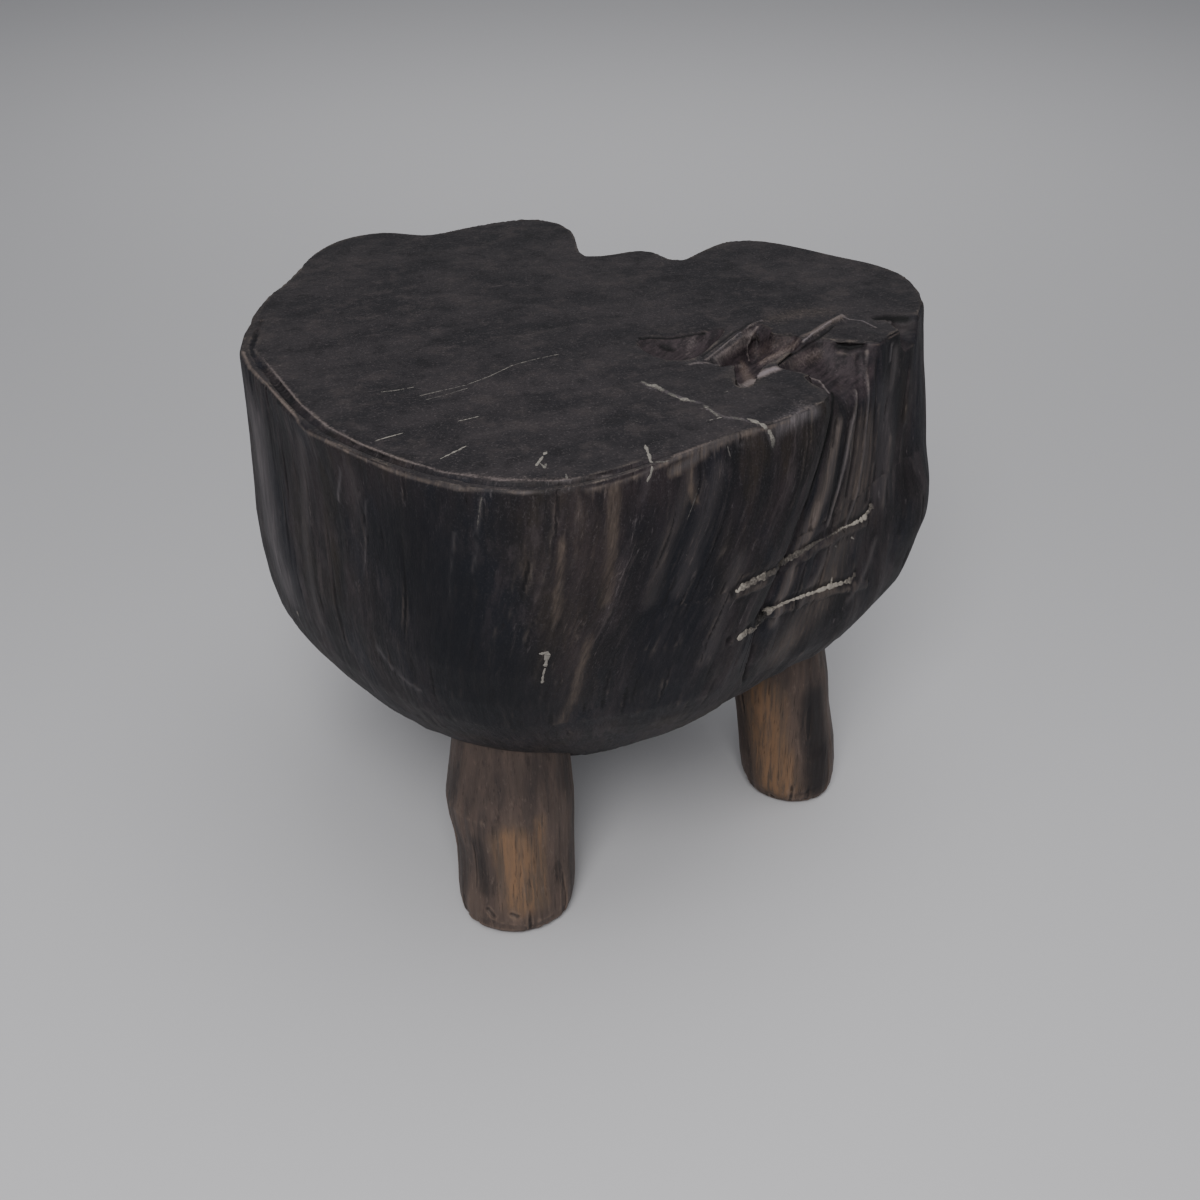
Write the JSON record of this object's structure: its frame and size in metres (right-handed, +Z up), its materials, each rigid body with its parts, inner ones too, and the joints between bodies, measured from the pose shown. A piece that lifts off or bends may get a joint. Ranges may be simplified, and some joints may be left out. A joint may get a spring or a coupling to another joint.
{
  "type": "stool",
  "caption": "Low stool hewn from a fluted section of tree trunk, with round legs driven into its bowl-shaped underside and iron staples across a split beside one lobe.",
  "frame": {"origin": "on the floor, under the middle of the seat block's outline", "axes": "+Z up, -Y towards the stool's front, where one leg stands a little left of the middle"},
  "size_m": [0.3706, 0.368, 0.304],
  "materials": {
    "dark_weathered_wood": "dark, weathered and handled hardwood, dull with a slight sheen on the top",
    "worn_leg_wood": "debarked branch, dark with ochre patches where it is worn",
    "old_staple_iron": "old hammered iron, dull and dusty",
    "pale_filler": "pale, dry and crumbly filling of wood dust and glue"
  },
  "bodies": {
    "root": {"seat_block": "dark_weathered_wood", "leg_front": "worn_leg_wood", "leg_right": "worn_leg_wood", "leg_back": "worn_leg_wood", "staple_upper": "old_staple_iron", "staple_lower": "old_staple_iron", "crack_filler": "pale_filler"}
  },
  "joints": []
}
